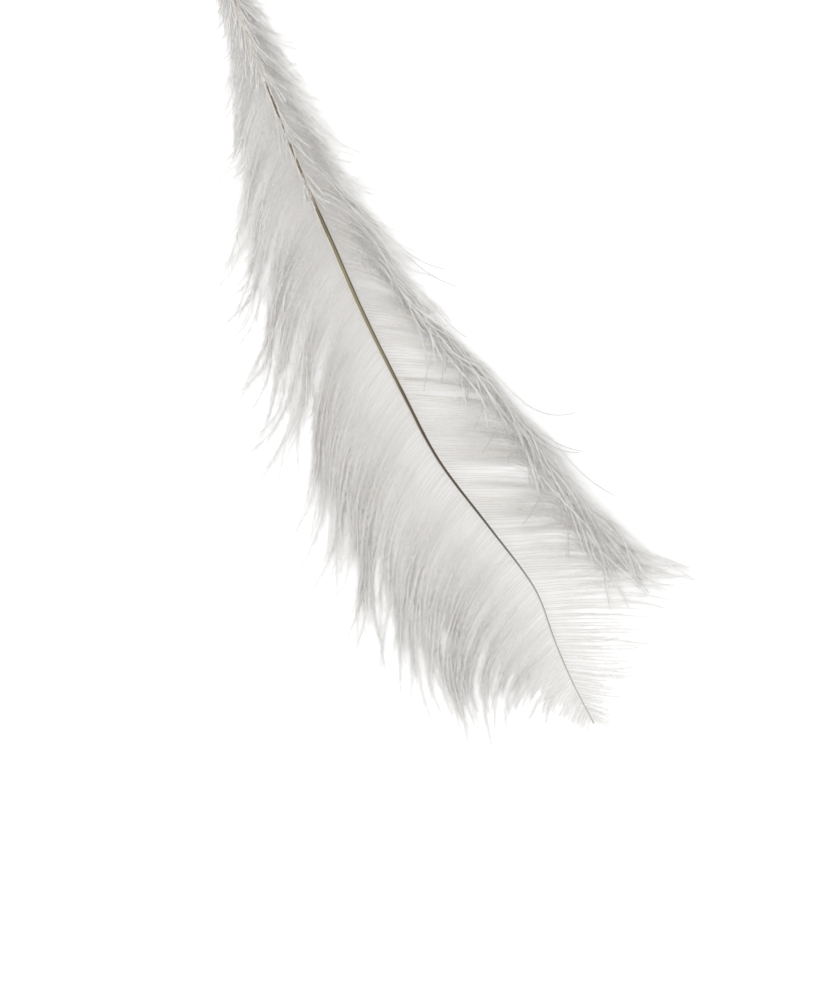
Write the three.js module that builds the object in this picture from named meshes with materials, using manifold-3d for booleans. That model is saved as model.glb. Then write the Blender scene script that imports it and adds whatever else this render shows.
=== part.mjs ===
// A white ostrich plume lying on its underside: one quill with soft vanes of curled locks on both sides.
// Millimetres, +Z up, +X from the cut quill towards the tip. The origin is the centre of the underside.
import * as THREE from "three";
import { mergeVertices } from "three/addons/utils/BufferGeometryUtils.js";
import Module from "manifold-3d";

// Centre line of the shaft, quill end first: x, y, z and the shaft's diameter there.
const SHAFT = [
  { x: -172.7, y: 15.6, z: 0.9, across: 2.0 },
  { x: -147.1, y: 11.4, z: 2.3, across: 2.5 },
  { x: -113.1, y: 7.4, z: 4.6, across: 2.4 },
  { x: -79.6, y: 4.1, z: 6.3, across: 2.2 },
  { x: -47.3, y: 1.4, z: 7.4, across: 2.1 },
  { x: -22.9, y: 0.2, z: 7.8, across: 2.1 },
  { x: 5.8, y: -1.1, z: 8.0, across: 2.0 },
  { x: 37.1, y: -1.0, z: 7.9, across: 1.6 },
  { x: 62.9, y: -0.2, z: 7.5, across: 1.1 },
  { x: 90.9, y: 5.1, z: 6.7, across: 0.8 },
  { x: 110.4, y: 9.0, z: 6.0, across: 0.65 },
  { x: 121.9, y: 10.0, z: 5.5, across: 0.6 },
  { x: 137.4, y: 8.2, z: 4.7, across: 0.55 },
  { x: 153.3, y: 7.3, z: 3.8, across: 0.5 },
  { x: 169.9, y: 7.6, z: 2.8, across: 0.45 },
];
const SHAFT_SIDES = 6;
const SHAFT_STEPS = 36;

// How the barbs of a vane run, by the distance of their root from the quill's end. A barb is "reach" long. Its
// bearing from +X and its height over the table are given at the root, at the knee, on the run and at the tip.
const LEFT_VANE = [
  { at: 28, reach: 14, bearing: [-40, -32, -28, -30], height: [1.6, 1.1, 1.2] },
  { at: 60, reach: 25, bearing: [-52, -40, -30, -45], height: [2.4, 1.2, 1.4] },
  { at: 100, reach: 57, bearing: [-62, -42, -32, -68], height: [3.6, 1.3, 2.6] },
  { at: 125, reach: 71, bearing: [-66, -43, -31, -70], height: [4.0, 1.3, 3.2] },
  { at: 150, reach: 79, bearing: [-67, -43, -31, -56], height: [4.2, 1.3, 3.4] },
  { at: 175, reach: 80, bearing: [-67, -44, -31, -44], height: [4.2, 1.3, 3.2] },
  { at: 200, reach: 80, bearing: [-67, -46, -30, -35], height: [4.2, 1.3, 3.0] },
  { at: 225, reach: 80, bearing: [-68, -46, -27, -26], height: [4.0, 1.3, 2.6] },
  { at: 250, reach: 77, bearing: [-69, -46, -25, -18], height: [3.6, 1.3, 2.2] },
  { at: 290, reach: 58, bearing: [-72, -58, -31, 3], height: [3.0, 1.2, 2.0] },
  { at: 320, reach: 28, bearing: [-74, -68, -56, -41], height: [2.4, 1.2, 1.4] },
  { at: 344, reach: 8, bearing: [-50, -45, -40, -36], height: [2.2, 1.3, 1.4] },
];
const RIGHT_VANE = [
  { at: 28, reach: 14, bearing: [24, 18, 16, 24], height: [1.8, 1.4, 1.4] },
  { at: 60, reach: 20, bearing: [46, 32, 24, 34], height: [2.0, 2.4, 2.6] },
  { at: 100, reach: 37, bearing: [46, 26, 18, 32], height: [1.7, 3.0, 3.0] },
  { at: 150, reach: 64, bearing: [57, 27, 12, 22], height: [1.5, 6.0, 5.0] },
  { at: 175, reach: 77, bearing: [61, 40, 13, 9], height: [1.5, 7.5, 6.0] },
  { at: 200, reach: 87, bearing: [63, 53, 14, 1], height: [1.4, 8.5, 6.5] },
  { at: 225, reach: 90, bearing: [63, 57, 16, 0], height: [1.4, 9.0, 6.5] },
  { at: 240, reach: 86, bearing: [64, 58, 20, 5], height: [1.4, 9.0, 6.5] },
  { at: 252, reach: 80, bearing: [64, 60, 28, 15], height: [1.4, 8.0, 6.5] },
  { at: 270, reach: 69, bearing: [67, 64, 48, 38], height: [1.4, 5.0, 5.5] },
  { at: 282, reach: 55, bearing: [68, 66, 60, 52], height: [1.5, 2.6, 3.5] },
  { at: 298, reach: 40, bearing: [68, 67, 64, 60], height: [1.5, 2.0, 2.4] },
  { at: 318, reach: 27, bearing: [60, 60, 62, 66], height: [1.7, 1.4, 2.0] },
  { at: 335, reach: 12, bearing: [49, 49, 52, 56], height: [2.0, 1.4, 1.4] },
  { at: 344, reach: 8, bearing: [30, 30, 30, 30], height: [2.2, 1.7, 1.4] },
];

// Where the root, knee, run and tip stand along a lock, as shares of its reach.
const LEFT_STATIONS = [0, 0.33, 0.67, 1];
const RIGHT_STATIONS = [0, 0.3, 0.52, 1];

// Locks: groups of barbs that cling together, spaced evenly along the vane.
const LOCKS_A_SIDE = 29;
const VANE_FROM = 28;
const VANE_TO = 343;
const LOCK_SIDES = 4;
const LOCK_STEPS = 8;
const LOCK_FILL = [[0, 0.52], [0.5, 0.6], [0.8, 0.48], [1, 0.1]];
const LEAST_GAP = 4.6;
const LOCK_HALF_DEPTH = [[0, 0.6], [0.3, 1.1], [0.7, 1.3], [1, 0.4]];
const LOWEST_MIDDLE = 0.8;

// A lock reaches as far as its longest barbs do, and strays from the next by these shares, degrees and shares.
const LONGEST_BARBS = 1.07;
const REACH_STRAY = 0.1;
const BEND_STRAY = 0.15;
const BEARING_STRAY = [0, 3, 4, 10];
const HEIGHT_STRAY = [0.3, 0.3, 0.4];

// A block larger than the feather, under the surface that it lies on.
const TABLE = { x: 500, y: 400, z: 20 };

const shaftCurve = new THREE.CatmullRomCurve3(
  SHAFT.map((p) => new THREE.Vector3(p.x, p.y, p.z)),
  false,
  "catmullrom",
);
const shaftLength = shaftCurve.getLength();

// A value read off a list of [place, value] pairs, straight from one pair to the next.
function between(pairs, place) {
  const last = pairs.length - 1;
  if (place >= pairs[last][0]) return pairs[last][1];
  const next = Math.max(1, pairs.findIndex((pair) => pair[0] > place));
  const [[from, low], [to, high]] = [pairs[next - 1], pairs[next]];
  return low + ((high - low) * Math.max(0, place - from)) / (to - from);
}

// A number from -1 to 1 for each lock, scattered evenly: each square root gives a series of its own.
function scatter(lock, root) {
  const x = lock * Math.sqrt(root) + 0.37 * root;
  return 2 * (x - Math.floor(x)) - 1;
}

// Values at the root, knee, run and tip, which stand at these shares of the way, joined by one smooth curve.
function alongBarb(values, stations, u) {
  const [first, second, third, fourth] = values;
  const ends = [2 * first - second, ...values, 2 * fourth - third];
  const thirds = between(stations.map((station, i) => [station, i]), u);
  const span = Math.min(Math.floor(thirds), 2);
  const t = thirds - span;
  const [a, b, c, d] = ends.slice(span, span + 4);
  const bend = (2 * a - 5 * b + 4 * c - d) * t * t + (3 * b - a - 3 * c + d) * t * t * t;
  return 0.5 * (2 * b + (c - a) * t + bend);
}

// The course of one lock: its reach, bearings and heights where it grows, with its own stray.
function lockCourse(vane, right, lock) {
  const at = VANE_FROM + ((VANE_TO - VANE_FROM) * (lock + 0.5)) / LOCKS_A_SIDE;
  const number = 2 * lock + (right ? 1 : 0);
  const read = (pick) => between(vane.map((row) => [row.at, pick(row)]), at);
  const root = shaftCurve.getPointAt(at / shaftLength);
  const stray = (list, i, series) => list[i] * scatter(number, series + 2 * i);
  const bearing = [0, 1, 2, 3].map((i) => read((row) => row.bearing[i]) + stray(BEARING_STRAY, i, 1));
  const height = [0, 1, 2].map((i) => read((row) => row.height[i]) * (1 + stray(HEIGHT_STRAY, i, 11)));
  return {
    root,
    stations: right ? RIGHT_STATIONS : LEFT_STATIONS,
    reach: read((row) => row.reach) * (LONGEST_BARBS + REACH_STRAY * scatter(number, 2)),
    bend: 1 + BEND_STRAY * scatter(number, 6),
    bearing,
    height: [root.z, ...height],
  };
}

// The direction a lock runs in at a share u of its reach, in radians from +X. It bends early or late.
function bearingAt(course, u) {
  return THREE.MathUtils.degToRad(alongBarb(course.bearing, course.stations, Math.min(u * course.bend, 1)));
}

// Points down a lock's middle, found by walking from the root along its bearings.
function lockPoints(course) {
  const points = [course.root.clone()];
  const stride = course.reach / LOCK_STEPS;
  for (let i = 0; i < LOCK_STEPS; i++) {
    const turn = bearingAt(course, (i + 0.5) / LOCK_STEPS);
    const { x, y } = points[i];
    const z = Math.max(alongBarb(course.height, course.stations, (i + 1) / LOCK_STEPS), LOWEST_MIDDLE);
    points.push(new THREE.Vector3(x + stride * Math.cos(turn), y + stride * Math.sin(turn), z));
  }
  return points;
}

// A closed bar along the points, flat ends and all, its half width and half depth given at each step.
function bar(points, sides, halfWidth, halfDepth) {
  const steps = points.length - 1;
  const shape = new THREE.CylinderGeometry(1, 1, 1, sides, steps);
  const position = shape.getAttribute("position");
  const up = new THREE.Vector3(0, 0, 1);
  for (let i = 0; i < position.count; i++) {
    const u = position.getY(i) + 0.5;
    const step = Math.round(u * steps);
    const ahead = points[Math.min(step + 1, steps)].clone().sub(points[Math.max(step - 1, 0)]);
    const side = ahead.cross(up).normalize();
    const place = points[step]
      .clone()
      .addScaledVector(side, position.getX(i) * halfWidth(u))
      .addScaledVector(up, position.getZ(i) * halfDepth(u));
    position.setXYZ(i, place.x, place.y, place.z);
  }
  return shape;
}

const wasm = await Module();
wasm.setup();

// A closed three.js geometry as a solid that can be joined and cut.
function solid(geometry) {
  geometry.deleteAttribute("normal");
  geometry.deleteAttribute("uv");
  const merged = mergeVertices(geometry);
  return new wasm.Manifold(
    new wasm.Mesh({
      numProp: 3,
      vertProperties: merged.getAttribute("position").array,
      triVerts: new Uint32Array(merged.index.array),
    }),
  );
}

// The quill and shaft in one taper, cut square at both ends.
function shaft() {
  const across = SHAFT.map((p, i) => [i / (SHAFT.length - 1), p.across]);
  const radius = (u) => between(across, shaftCurve.getUtoTmapping(u)) / 2;
  return solid(bar(shaftCurve.getSpacedPoints(SHAFT_STEPS), SHAFT_SIDES, radius, radius));
}

// A lock fills the gap to its neighbours, which narrows where they sweep back along the shaft.
function lockSolid(vane, right, lock) {
  const course = lockCourse(vane, right, lock);
  const pitch = (VANE_TO - VANE_FROM) / LOCKS_A_SIDE;
  const gap = (u) => Math.max(pitch * Math.abs(Math.sin(bearingAt(course, u))), LEAST_GAP);
  const halfWidth = (u) => gap(u) * between(LOCK_FILL, u);
  const halfDepth = (u) => between(LOCK_HALF_DEPTH, u);
  return solid(bar(lockPoints(course), LOCK_SIDES, halfWidth, halfDepth));
}

// What rests on the table is pressed flat: this block under it takes off what would reach through.
function table() {
  const { x, y, z } = TABLE;
  return solid(new THREE.BoxGeometry(x, y, z).translate(0, 0, -z / 2));
}

// Shaft and locks grown together in one solid.
function feather() {
  let whole = shaft();
  for (let lock = 0; lock < LOCKS_A_SIDE; lock++) {
    whole = whole.add(lockSolid(LEFT_VANE, false, lock));
    whole = whole.add(lockSolid(RIGHT_VANE, true, lock));
  }
  whole = whole.subtract(table());
  // Spaces sealed between crossing locks come apart as shells of their own, and only the outer skin is kept.
  const skins = whole.decompose().sort((a, b) => b.volume() - a.volume());
  const { vertProperties, triVerts } = skins[0].getMesh();
  const geometry = new THREE.BufferGeometry()
    .setAttribute("position", new THREE.BufferAttribute(vertProperties, 3))
    .setIndex(new THREE.BufferAttribute(triVerts, 1));
  geometry.computeVertexNormals();
  return geometry;
}

const plume = new THREE.MeshStandardMaterial({ color: 0xe6e2dc, roughness: 0.85, metalness: 0 });
const mesh = new THREE.Mesh(feather(), plume);
mesh.name = "feather";

const root = new THREE.Group();
root.add(mesh);
export default root;
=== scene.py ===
"""A white ostrich plume lying on a pale floor, laid out as a Blender add-on.

The shaft is one tapering mesh. Each barb of the two vanes is a line walked from the shaft, and one Geometry Nodes tree
turns those lines into thin horn filaments with their fringe of barbules.
"""

import math
from collections import namedtuple

import bpy
import numpy as np
from bpy.props import FloatProperty, FloatVectorProperty, IntProperty, PointerProperty, StringProperty
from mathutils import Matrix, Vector


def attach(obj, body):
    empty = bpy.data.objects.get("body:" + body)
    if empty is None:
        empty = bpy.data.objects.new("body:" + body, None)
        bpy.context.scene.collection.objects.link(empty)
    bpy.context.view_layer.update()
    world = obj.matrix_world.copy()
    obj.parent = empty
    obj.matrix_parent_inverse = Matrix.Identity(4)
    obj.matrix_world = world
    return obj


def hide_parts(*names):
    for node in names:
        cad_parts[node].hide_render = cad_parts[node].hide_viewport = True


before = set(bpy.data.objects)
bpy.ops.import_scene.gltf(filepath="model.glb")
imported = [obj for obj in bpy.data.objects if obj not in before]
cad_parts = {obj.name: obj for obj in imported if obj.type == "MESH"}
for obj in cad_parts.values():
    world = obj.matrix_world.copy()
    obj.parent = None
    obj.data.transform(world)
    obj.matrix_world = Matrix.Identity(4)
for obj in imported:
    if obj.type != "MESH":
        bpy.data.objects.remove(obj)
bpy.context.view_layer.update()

bl_info = {
    "name": "Ostrich plume",
    "version": (1, 0, 0),
    "blender": (4, 5, 0),
    "location": "3D View > Sidebar > Plume",
    "description": "Builds a white ostrich plume: shaft, barbs, barbules and a studio around it",
    "category": "Add Mesh",
}

MM = 0.001

# In these tables a place on the shaft is its distance in mm from the quill's end, and a place along a barb is a share
# of the way, 0 at the root and 1 at the tip. Bearings are in degrees from +X.

# The centre line of the shaft in mm, quill end first, and its diameter there.
SHAFT = [
    (-172.7, 15.6, 0.9, 2.0),
    (-147.1, 11.4, 2.3, 2.5),
    (-113.1, 7.4, 4.6, 2.4),
    (-79.6, 4.1, 6.3, 2.2),
    (-47.3, 1.4, 7.4, 2.1),
    (-22.9, 0.2, 7.8, 2.1),
    (5.8, -1.1, 8.0, 2.0),
    (37.1, -1.0, 7.9, 1.6),
    (62.9, -0.2, 7.5, 1.1),
    (90.9, 5.1, 6.7, 0.8),
    (110.4, 9.0, 6.0, 0.65),
    (121.9, 10.0, 5.5, 0.6),
    (137.4, 8.2, 4.7, 0.55),
    (153.3, 7.3, 3.8, 0.5),
    (169.9, 7.6, 2.8, 0.45),
]

# How the barbs of a vane run: the place on the shaft, their reach in mm, their bearings at the root, the knee, the
# run and the tip, and their heights in mm at the last three.
COURSES = {
    "left": [
        (28, 12, (-40, -32, -28, -30), (1.6, 1.1, 1.2)),
        (60, 21, (-52, -38, -28, -40), (2.4, 1.2, 1.4)),
        (100, 64, (-62, -42, -36, -70), (3.6, 1.3, 2.6)),
        (125, 85, (-66, -43, -37, -72), (4.0, 1.3, 3.2)),
        (150, 85, (-67, -43, -33, -60), (4.2, 1.3, 3.4)),
        (175, 83, (-67, -44, -31, -46), (4.2, 1.3, 3.2)),
        (200, 84, (-67, -46, -29, -38), (4.2, 1.3, 3.0)),
        (225, 86, (-68, -46, -26, -30), (4.0, 1.3, 2.6)),
        (250, 84, (-69, -46, -25, -18), (3.6, 1.3, 2.2)),
        (290, 68, (-72, -58, -31, -2), (3.0, 1.2, 2.0)),
        (320, 24, (-74, -68, -56, -41), (2.4, 1.2, 1.4)),
        (344, 4, (-50, -45, -40, -36), (2.2, 1.3, 1.4)),
    ],
    "right": [
        (28, 14, (24, 18, 16, 24), (1.8, 1.4, 1.4)),
        (60, 20, (46, 32, 24, 34), (2.0, 2.4, 2.6)),
        (100, 37, (46, 26, 18, 32), (1.7, 3.0, 3.0)),
        (150, 64, (57, 27, 12, 22), (1.5, 4.6, 4.0)),
        (175, 81, (61, 40, 13, 9), (1.5, 5.2, 4.4)),
        (200, 93, (63, 53, 14, 1), (1.4, 5.6, 4.6)),
        (225, 99, (63, 57, 16, 2), (1.4, 5.8, 4.6)),
        (240, 98, (64, 58, 20, 6), (1.4, 5.8, 4.6)),
        (252, 93, (64, 60, 28, 15), (1.4, 5.2, 4.6)),
        (270, 73, (67, 64, 48, 38), (1.4, 3.8, 4.2)),
        (282, 62, (68, 66, 60, 52), (1.5, 2.4, 3.0)),
        (298, 48, (68, 67, 64, 60), (1.5, 2.0, 2.4)),
        (318, 30, (60, 60, 62, 66), (1.7, 1.4, 2.0)),
        (335, 12, (49, 49, 52, 56), (2.0, 1.4, 1.4)),
        (344, 8, (30, 30, 30, 30), (2.2, 1.7, 1.4)),
    ],
}

# Where the root, knee, run and tip stand along a barb. A shorter barb's run stands later, up to the last place for it.
STATIONS = {"left": (0, 0.33, 0.67, 1), "right": (0, 0.3, 0.52, 1)}
LAST_RUN = 0.9

# Barbs grow from here to here, each off its even place by up to a share of the pitch. A barb is walked in so many
# steps, and stays this many mm over the floor.
VANE_FROM = 28
VANE_TO = 343
OFF_PLACE = 0.3
BARB_STEPS = 18
LOWEST_BARB = 0.5

# How barbs stray from their course: share of reach, share of bend, degrees at the root, knee, run and tip, mm of
# height at the last three, and the swing in degrees of a slow wave. Neighbours stray together over a wide and a fine
# pitch in mm, and each strays a little on its own. Last comes the most that these may add up to.
WIDE_STRAY = (0.03, 0.04, 0.6, 0.7, 0.6, 3.0, 0.4, 0.6, 0.7, 3.0)
WIDE_PITCH = 14.0
FINE_STRAY = (0.03, 0.06, 1.4, 1.4, 0.8, 2.0, 0.4, 0.4, 0.4, 3.0)
FINE_PITCH = 4.0
OWN_STRAY = (0.09, 0.08, 1.2, 1.5, 2.6, 12.0, 0.2, 0.3, 0.5, 6.0)
MOST_STRAY = (0.06, 0.3, 6.0, 6.0, 5.0, 20.0, 1.5, 1.5, 2.0, 12.0)

# How much more barbs stray by place on the shaft, which share of them is loose and strays this many times more, and
# how many standard deviations count of a barb's own chances and of those that it shares.
DOWNY = [(28, 2.4), (140, 2.0), (190, 1.0), (265, 0.9), (290, 0.6), (344, 0.5)]
LOOSE_SHARE = 0.1
LOOSE_TIMES = 2.2
OWN_LIMIT = 1.7
SHARED_LIMIT = 2

# How often the slow wave swings along a barb, the shortest a barb gets as a share of its course, and the power of
# chance that makes short ones rare.
WAVES = 1.8
SHORTEST = 0.55
SHORT_RARE = 1.4

# Barbs cling together in wisps of a few: how much by place on the shaft, and along the barb. Their fringes are full
# to a share between these.
WISP_BARBS = 3
CLING = {"left": [(28, 0.3), (100, 0.2), (130, 0.1)], "right": [(250, 0.3), (280, 0)]}
CLING_ALONG = [(0.03, 0), (0.2, 1), (0.45, 0.8), (0.7, 0.3), (1, 0)]
FULLNESS = (0.8, 1.0)

# On the right vane the wisps droop from the ridge, some a little and a few right down over the vane: how much by
# place on the shaft, the power of chance that makes it rare, and the turn of bearings and what is left of the reach
# at full droop. Past a share of that droop a wisp hangs: it is grey, with this share of the fringe.
DROOPS = [(150, 0), (160, 1), (225, 1), (245, 0.9), (270, 0.85), (285, 0)]
DROOP_RARE = 1.8
DROOP_BEARING = (0, 0, -30, -42)
DROOP_REACH = 0.66
HANGS_PAST = 0.5
HANG_FRINGE = 0.5

# Single strands that spring off the right vane's ridge: the place on the shaft, the reach in mm, the bearings at the
# run and the tip, and where the run stands along them.
STRANDS = [
    (127, 60, 20, 52, 0.65),
    (129, 65, 18, 46, 0.65),
    (144, 66, 12, 34, 0.8),
    (184, 82, 18, 82, 0.7),
    (204, 73, 20, 55, 0.7),
    (204.7, 72, 16, 66, 0.75),
    (211, 86, 14, 38, 0.7),
]
STRAND_FRINGE = 0.55

# Down that lies over the shaft: how much of it by place on the shaft, looked up every so many mm.
DOWN = {
    "left": [
        (56, 0), (58, 1), (86, 1), (90, 0.05), (101, 0.05), (103, 0.8), (107, 0.8), (110, 0.05),
        (123, 0.05), (125, 1), (128, 1), (130, 0),
    ],
    "right": [
        (56, 0), (58, 1), (86, 1), (90, 0.05), (98, 0.05), (101, 1), (107, 1), (110, 0.05),
        (123, 0.05), (125, 1), (128, 1), (130, 0),
    ],
}
DOWN_STEP = 0.6

# How a piece of down lies: its reach in mm, its bearing off the shaft's, which is read over so many mm, the shares of
# that bearing that chance picks from, and its curl in degrees.
DOWN_REACH = (6, 14)
DOWN_BEARING = 22
SHAFT_BEARING_OVER = 10
DOWN_SIDES = (-0.6, 1)
DOWN_CURL = 14

# It starts this far out and up, as shares of the shaft's diameter, and rises by these mm, times a share by chance.
DOWN_OUT = (0, 0.5)
DOWN_UP = 0.3
DOWN_RISE = (1.0, 1.4, 0.8)
DOWN_RISES = (0.7, 1.2)
DOWN_FRINGE = 1.3

# The barbules' length in mm along a barb, how much of it is left by place on the shaft, the most it may be of the
# barb's own reach, and the fluff in mm at the roots by place on the shaft.
FRINGE = {
    "left": [(0, 1.0), (0.12, 1.5), (0.4, 3.5), (0.62, 4.6), (0.8, 4.0), (0.9, 2.4), (1, 0.4)],
    "right": [(0, 1.0), (0.12, 1.5), (0.4, 3.1), (0.7, 3.4), (0.9, 2.4), (1, 0.6)],
}
FLUFF = {
    "left": [(28, 0.95), (100, 1.0), (200, 1.0), (300, 0.85), (344, 0.7)],
    "right": [(28, 0.95), (100, 1.0), (200, 1.0), (265, 0.95), (290, 0.5), (344, 0.45)],
}
FRINGE_SHARE = 0.14
ROOT_FLUFF = [(28, 1.5), (150, 1.2), (190, 0.0)]

# How many of the barbules' places are filled along a barb, and how much that thins towards the tip by place on the
# shaft.
FILLED = [(0.25, 0.95), (0.45, 0.75), (0.8, 0.7), (1, 0.8)]
THINNED = {
    "left": [(28, 1.2), (100, 1.1), (160, 0.7), (240, 0.25), (270, -0.1), (300, 0.2), (344, 0.5)],
    "right": [(100, 0.85), (150, 0.5), (190, 0.05), (270, 0.0), (300, 0.7), (344, 0.8)],
}

# A barbule's angle to its barb, as a share of the usual angle, along the barb, and how much these angles differ by
# place on the shaft.
SWEPT = {
    "left": [(0, 2.3), (0.2, 1.9), (0.45, 1.1), (1, 0.85)],
    "right": [(0, 2.3), (0.3, 1.8), (0.5, 1.2), (1, 0.9)],
}
WILD = [(28, 1.2), (130, 1.0), (190, 0.4)]

# Barbules' lengths and thicknesses, as shares of the usual. Now and then one is longer, by up to this share of the
# usual length; the power of chance makes that rare.
BARBULE_LENGTHS = (0.5, 1.1)
BARBULE_THICKNESSES = (0.7, 1.2)
LONG_BARBULE = 1.8
LONG_BARBULES_RARE = 8.0

# A barb's thickness along it as a share of that at the root, the same for one that hangs, and how stout barbs are by
# place on the shaft.
STEM = {
    "left": [(0, 1.0), (0.1, 0.9), (0.25, 0.7), (0.5, 0.34), (0.75, 0.65), (0.9, 0.65), (1, 0.4)],
    "right": [(0, 1.0), (0.1, 0.9), (0.25, 0.7), (0.5, 0.34), (1, 0.25)],
}
HANGING_STEM = [(0, 0.8), (0.3, 0.4), (0.55, 0.4), (0.7, 1.1), (0.9, 1.0), (1, 0.4)]
STOUT = [(28, 0.2), (100, 0.3), (140, 0.7), (190, 1.0)]

# The shaft: its rings and sides, its height as a share of its width, the depth and width of the groove under it as
# shares of its radius, how much of the groove there is by place on it, and the lowest that it reaches in mm.
SHAFT_RINGS = 151
SHAFT_SIDES = 16
SHAFT_DEPTH = 0.9
GROOVE = 0.5
GROOVE_WIDTH = 0.35
GROOVE_DEPTH = [(24, 0), (40, 1)]
LOWEST_SHAFT = 0.02

# The bore in the quill's open end: its width as a share of the quill's, and its depth in mm.
QUILL_BORE = 0.72
QUILL_BORE_DEPTH = 3.0

# Horn colours by the share of the shaft's length: the stripe down the top, and the flanks.
HORN_STRIPE = [
    (0.0, (0.60, 0.52, 0.38)),
    (0.10, (0.42, 0.34, 0.24)),
    (0.165, (0.07, 0.055, 0.04)),
    (0.19, (0.50, 0.46, 0.42)),
    (0.26, (0.50, 0.46, 0.42)),
    (0.275, (0.09, 0.075, 0.055)),
    (0.31, (0.10, 0.085, 0.065)),
    (0.36, (0.12, 0.10, 0.08)),
    (0.38, (0.40, 0.37, 0.33)),
    (0.39, (0.40, 0.37, 0.33)),
    (0.405, (0.12, 0.10, 0.08)),
    (0.42, (0.13, 0.11, 0.08)),
    (0.47, (0.22, 0.20, 0.13)),
    (0.57, (0.19, 0.165, 0.125)),
    (0.61, (0.08, 0.062, 0.044)),
    (0.66, (0.035, 0.026, 0.02)),
    (0.73, (0.05, 0.04, 0.034)),
    (0.80, (0.15, 0.14, 0.125)),
    (0.86, (0.42, 0.40, 0.37)),
    (1.0, (0.60, 0.57, 0.53)),
]
HORN_FLANK = [
    (0.0, (0.68, 0.62, 0.5)),
    (0.1, (0.55, 0.51, 0.47)),
    (0.33, (0.55, 0.51, 0.47)),
    (0.42, (0.66, 0.60, 0.53)),
    (0.57, (0.66, 0.60, 0.53)),
    (0.66, (0.50, 0.43, 0.37)),
    (0.76, (0.12, 0.10, 0.085)),
    (0.86, (0.46, 0.43, 0.4)),
    (1.0, (0.60, 0.57, 0.53)),
]

# The stripe's middle and half width by turns round the shaft from below, less than a half being to the right, how soft
# and how ragged its edge is, and the share of its width that it has before it widens and where it does so.
STRIPE_AT = 0.485
STRIPE_HALF = 0.115
STRIPE_SOFT = 0.02
STRIPE_RAGGED = 0.05
STRIPE_NARROW = 0.45
STRIPE_WIDENS = (0.33, 0.42)

# The stripe's right side is darker with painted shade, from here to here off its middle, by up to this share. Its
# streaks show by how far the grain's noise is over a value, times a share.
PAINTED_SHADE_OFF = (0.01, 0.07)
PAINTED_SHADE_MOST = 0.9
STREAKS_PAST = 0.35
STREAKS_MOST = 0.8

# The barbs' colours: how far the root's tint goes, which on the down near the quill also holds painted shade next to
# the shaft, how much of the stems' own colour shows all along and at the root, between which values of the noise they
# turn grey and how far, and where along a hanging barb its grey sets in and how much of it its barbules keep off.
ROOT_TINT_AND_SHADE_SHARE = 0.8
STEM_ALL_ALONG = 0.35
STEM_AT_ROOT = 0.6
GREYS = (0.35, 0.68)
GREY_MOST = 0.85
HANGING_GREYS = (0.6, 0.8)
BARBULE_KEEPS = 0.5

# Every piece has one map: along the barb or shaft, and across. The export keeps a map of this name. Each barb has a
# strip across, less a margin on both sides, and hanging barbs share the last; barbules have the same in the upper half
# of the map, and run this much further along.
UV_MAP = "OFBake"
STRIP = 0.008
STRIP_MARGIN = 0.15
HANGING_STRIP = 0.95
BARBULE_MAP = 0.05

# The view: its size in pixels, what a pixel spans, the shaft's bearing in it, and a pixel on the shaft with its place
# and height in mm. Then the lens's sensor in mm, and the stage in metres.
VIEW = (826, 1000)
PIXEL = 0.35 * MM
SHAFT_BEARING_IN_VIEW = 63.6
SHAFT_PIXEL = (398.3, 330)
SHAFT_POINT = (15.9, 7.5)
SHAFT_POINT_HEIGHT = 5.0
SENSOR = 36.0
FLOOR_SIZE = 8.0
SOFTBOX_SIZE = 1.4
SOFTBOX_AT = (-0.45, -0.25, 1.75)

# The vanes' pieces: name, side, and where its barbs start and end on the shaft.
VANE_PIECES = [
    ("left_barbs_near_quill", "left", 0, 164),
    ("left_barbs_middle", "left", 164, 238),
    ("left_barbs_near_tip", "left", 238, 345),
    ("right_barbs_near_quill", "right", 0, 175),
    ("right_barbs_middle", "right", 175, 248),
    ("right_barbs_near_tip", "right", 248, 345),
]

# Each kind of chance has a stream of its own.
WIDE_CHANCES, FINE_CHANCES, BARB_CHANCES, DOWN_CHANCES, DROOP_CHANCES = 1, 2, 3, 4, 5


# ---------------------------------------------------------------- nodes


class Value:
    """A node's output that can stand in a sum: each operator adds the Math node that it needs."""

    def __init__(self, graph, socket):
        self.graph = graph
        self.socket = socket

    def other(self, name):
        """Another output of the same node."""
        return Value(self.graph, self.socket.node.outputs[name])

    def combine(self, operation, first, second):
        vector = "VECTOR" in (getattr(first, "kind", ""), getattr(second, "kind", ""))
        node = "ShaderNodeVectorMath" if vector else "ShaderNodeMath"
        return self.graph.add(node, {"operation": operation}, {0: first, 1: second})

    @property
    def kind(self):
        return self.socket.type

    def __add__(self, other):
        return self.combine("ADD", self, other)

    def __radd__(self, other):
        return self.combine("ADD", other, self)

    def __sub__(self, other):
        return self.combine("SUBTRACT", self, other)

    def __rsub__(self, other):
        return self.combine("SUBTRACT", other, self)

    def __mul__(self, other):
        return self.combine("MULTIPLY", self, other)

    def __truediv__(self, other):
        return self.combine("DIVIDE", self, other)

    def __mod__(self, other):
        return self.combine("MODULO", self, other)

    def __pow__(self, other):
        return self.combine("POWER", self, other)

    def scaled(self, share):
        """This vector, times a number."""
        return self.graph.add("ShaderNodeVectorMath", {"operation": "SCALE"}, {0: self, "Scale": share})


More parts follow.
